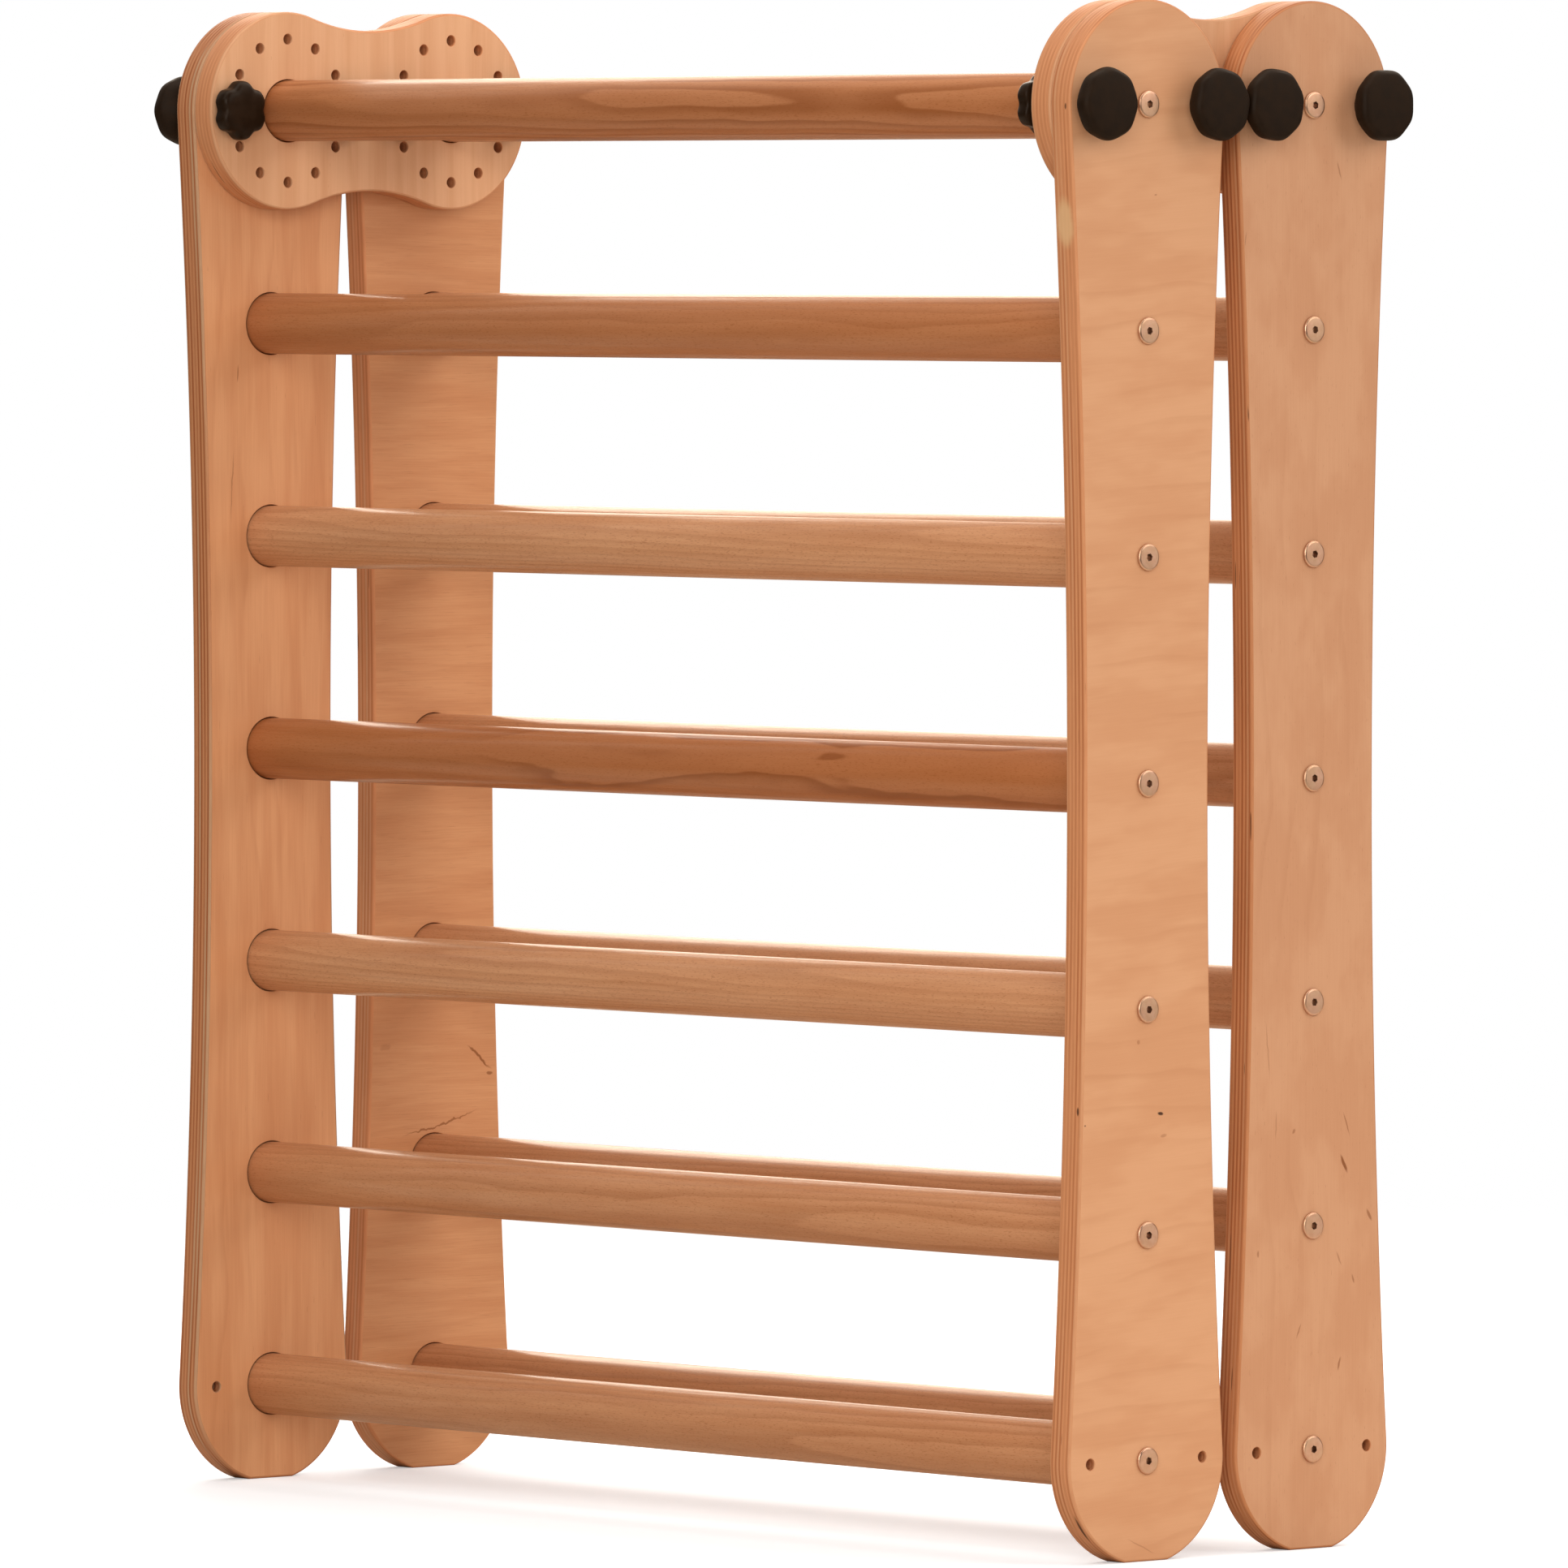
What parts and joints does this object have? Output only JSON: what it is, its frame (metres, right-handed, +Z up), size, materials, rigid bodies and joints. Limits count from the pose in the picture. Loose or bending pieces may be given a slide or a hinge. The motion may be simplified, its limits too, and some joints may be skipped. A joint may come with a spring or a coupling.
{
  "type": "foldable climbing triangle",
  "caption": "Foldable wooden climbing triangle: two rung ladders hinged to a pair of connector plates, locked at stepped angles by hand knobs.",
  "frame": {"origin": "on the floor, midway between the four feet", "axes": "+Z up; +X along the rungs, to the right seen from the front ladder; +Y from the front ladder to the rear ladder"},
  "size_m": [0.9166, 0.2796, 0.9675],
  "materials": {
    "birch_plywood": "clear lacquered birch plywood, edges rounded and sanded",
    "beech": "clear lacquered beech",
    "yellow_zinc": "pale yellow zinc plate",
    "black_plastic_matt": "fine textured moulding, matt",
    "black_plastic_satin": "smooth moulding, satin"
  },
  "bodies": {
    "connectors": {"left_connector_plate": "birch_plywood", "right_connector_plate": "birch_plywood"},
    "front_ladder": {"front_left_side_board": "birch_plywood", "front_right_side_board": "birch_plywood", "front_pivot_rung": "beech", "front_rung_2": "beech", "front_rung_3": "beech", "front_rung_4": "beech", "front_rung_5": "beech", "front_rung_6": "beech", "front_rung_7": "beech", "front_left_bolt_2": "yellow_zinc", "front_left_bolt_3": "yellow_zinc", "front_left_bolt_4": "yellow_zinc", "front_left_bolt_5": "yellow_zinc", "front_left_bolt_6": "yellow_zinc", "front_left_bolt_7": "yellow_zinc", "front_right_bolt_2": "yellow_zinc", "front_right_bolt_3": "yellow_zinc", "front_right_bolt_4": "yellow_zinc", "front_right_bolt_5": "yellow_zinc", "front_right_bolt_6": "yellow_zinc", "front_right_bolt_7": "yellow_zinc"},
    "rear_ladder": {"rear_left_side_board": "birch_plywood", "rear_right_side_board": "birch_plywood", "rear_pivot_rung": "beech", "rear_rung_2": "beech", "rear_rung_3": "beech", "rear_rung_4": "beech", "rear_rung_5": "beech", "rear_rung_6": "beech", "rear_rung_7": "beech", "rear_left_bolt_2": "yellow_zinc", "rear_left_bolt_3": "yellow_zinc", "rear_left_bolt_4": "yellow_zinc", "rear_left_bolt_5": "yellow_zinc", "rear_left_bolt_6": "yellow_zinc", "rear_left_bolt_7": "yellow_zinc", "rear_right_bolt_2": "yellow_zinc", "rear_right_bolt_3": "yellow_zinc", "rear_right_bolt_4": "yellow_zinc", "rear_right_bolt_5": "yellow_zinc", "rear_right_bolt_6": "yellow_zinc", "rear_right_bolt_7": "yellow_zinc"},
    "front_left_lock_knob_front": {"front_left_lock_knob_front": "black_plastic_matt"},
    "front_left_star_knob_front": {"front_left_star_knob_front": "black_plastic_satin"},
    "front_left_lock_knob_back": {"front_left_lock_knob_back": "black_plastic_matt"},
    "front_left_star_knob_back": {"front_left_star_knob_back": "black_plastic_satin"},
    "front_right_lock_knob_front": {"front_right_lock_knob_front": "black_plastic_matt"},
    "front_right_star_knob_front": {"front_right_star_knob_front": "black_plastic_satin"},
    "front_right_lock_knob_back": {"front_right_lock_knob_back": "black_plastic_matt"},
    "front_right_star_knob_back": {"front_right_star_knob_back": "black_plastic_satin"},
    "rear_left_lock_knob_front": {"rear_left_lock_knob_front": "black_plastic_matt"},
    "rear_left_star_knob_front": {"rear_left_star_knob_front": "black_plastic_satin"},
    "rear_left_lock_knob_back": {"rear_left_lock_knob_back": "black_plastic_matt"},
    "rear_left_star_knob_back": {"rear_left_star_knob_back": "black_plastic_satin"},
    "rear_right_lock_knob_front": {"rear_right_lock_knob_front": "black_plastic_matt"},
    "rear_right_star_knob_front": {"rear_right_star_knob_front": "black_plastic_satin"},
    "rear_right_lock_knob_back": {"rear_right_lock_knob_back": "black_plastic_matt"},
    "rear_right_star_knob_back": {"rear_right_star_knob_back": "black_plastic_satin"}
  },
  "joints": [
    {"name": "front_fold", "type": "hinge", "parent": "connectors", "child": "front_ladder", "pos_m": [0, -0.07, 0.90246], "axis": [-1, 0, 0], "range_deg": [0, 180]},
    {"name": "rear_fold", "type": "hinge", "parent": "connectors", "child": "rear_ladder", "pos_m": [0, 0.07, 0.90246], "axis": [1, 0, 0], "range_deg": [0, 180]},
    {"name": "front_left_lock_knob_front_pull", "type": "slide", "parent": "front_ladder", "child": "front_left_lock_knob_front", "axis": [-1, 0, 0], "range_m": [0, 0.05]},
    {"name": "front_left_star_knob_front_turn", "type": "hinge", "parent": "front_ladder", "child": "front_left_star_knob_front", "pos_m": [-0.419, -0.117, 0.90246], "axis": [-1, 0, 0], "continuous": true},
    {"name": "front_left_lock_knob_back_pull", "type": "slide", "parent": "front_ladder", "child": "front_left_lock_knob_back", "axis": [-1, 0, 0], "range_m": [0, 0.05]},
    {"name": "front_left_star_knob_back_turn", "type": "hinge", "parent": "front_ladder", "child": "front_left_star_knob_back", "pos_m": [-0.419, -0.023, 0.90246], "axis": [-1, 0, 0], "continuous": true},
    {"name": "front_right_lock_knob_front_pull", "type": "slide", "parent": "front_ladder", "child": "front_right_lock_knob_front", "axis": [1, 0, 0], "range_m": [0, 0.05]},
    {"name": "front_right_star_knob_front_turn", "type": "hinge", "parent": "front_ladder", "child": "front_right_star_knob_front", "pos_m": [0.419, -0.117, 0.90246], "axis": [1, 0, 0], "continuous": true},
    {"name": "front_right_lock_knob_back_pull", "type": "slide", "parent": "front_ladder", "child": "front_right_lock_knob_back", "axis": [1, 0, 0], "range_m": [0, 0.05]},
    {"name": "front_right_star_knob_back_turn", "type": "hinge", "parent": "front_ladder", "child": "front_right_star_knob_back", "pos_m": [0.419, -0.023, 0.90246], "axis": [1, 0, 0], "continuous": true},
    {"name": "rear_left_lock_knob_front_pull", "type": "slide", "parent": "rear_ladder", "child": "rear_left_lock_knob_front", "axis": [-1, 0, 0], "range_m": [0, 0.05]},
    {"name": "rear_left_star_knob_front_turn", "type": "hinge", "parent": "rear_ladder", "child": "rear_left_star_knob_front", "pos_m": [-0.419, 0.023, 0.90246], "axis": [-1, 0, 0], "continuous": true},
    {"name": "rear_left_lock_knob_back_pull", "type": "slide", "parent": "rear_ladder", "child": "rear_left_lock_knob_back", "axis": [-1, 0, 0], "range_m": [0, 0.05]},
    {"name": "rear_left_star_knob_back_turn", "type": "hinge", "parent": "rear_ladder", "child": "rear_left_star_knob_back", "pos_m": [-0.419, 0.117, 0.90246], "axis": [-1, 0, 0], "continuous": true},
    {"name": "rear_right_lock_knob_front_pull", "type": "slide", "parent": "rear_ladder", "child": "rear_right_lock_knob_front", "axis": [1, 0, 0], "range_m": [0, 0.05]},
    {"name": "rear_right_star_knob_front_turn", "type": "hinge", "parent": "rear_ladder", "child": "rear_right_star_knob_front", "pos_m": [0.419, 0.023, 0.90246], "axis": [1, 0, 0], "continuous": true},
    {"name": "rear_right_lock_knob_back_pull", "type": "slide", "parent": "rear_ladder", "child": "rear_right_lock_knob_back", "axis": [1, 0, 0], "range_m": [0, 0.05]},
    {"name": "rear_right_star_knob_back_turn", "type": "hinge", "parent": "rear_ladder", "child": "rear_right_star_knob_back", "pos_m": [0.419, 0.117, 0.90246], "axis": [1, 0, 0], "continuous": true}
  ]
}
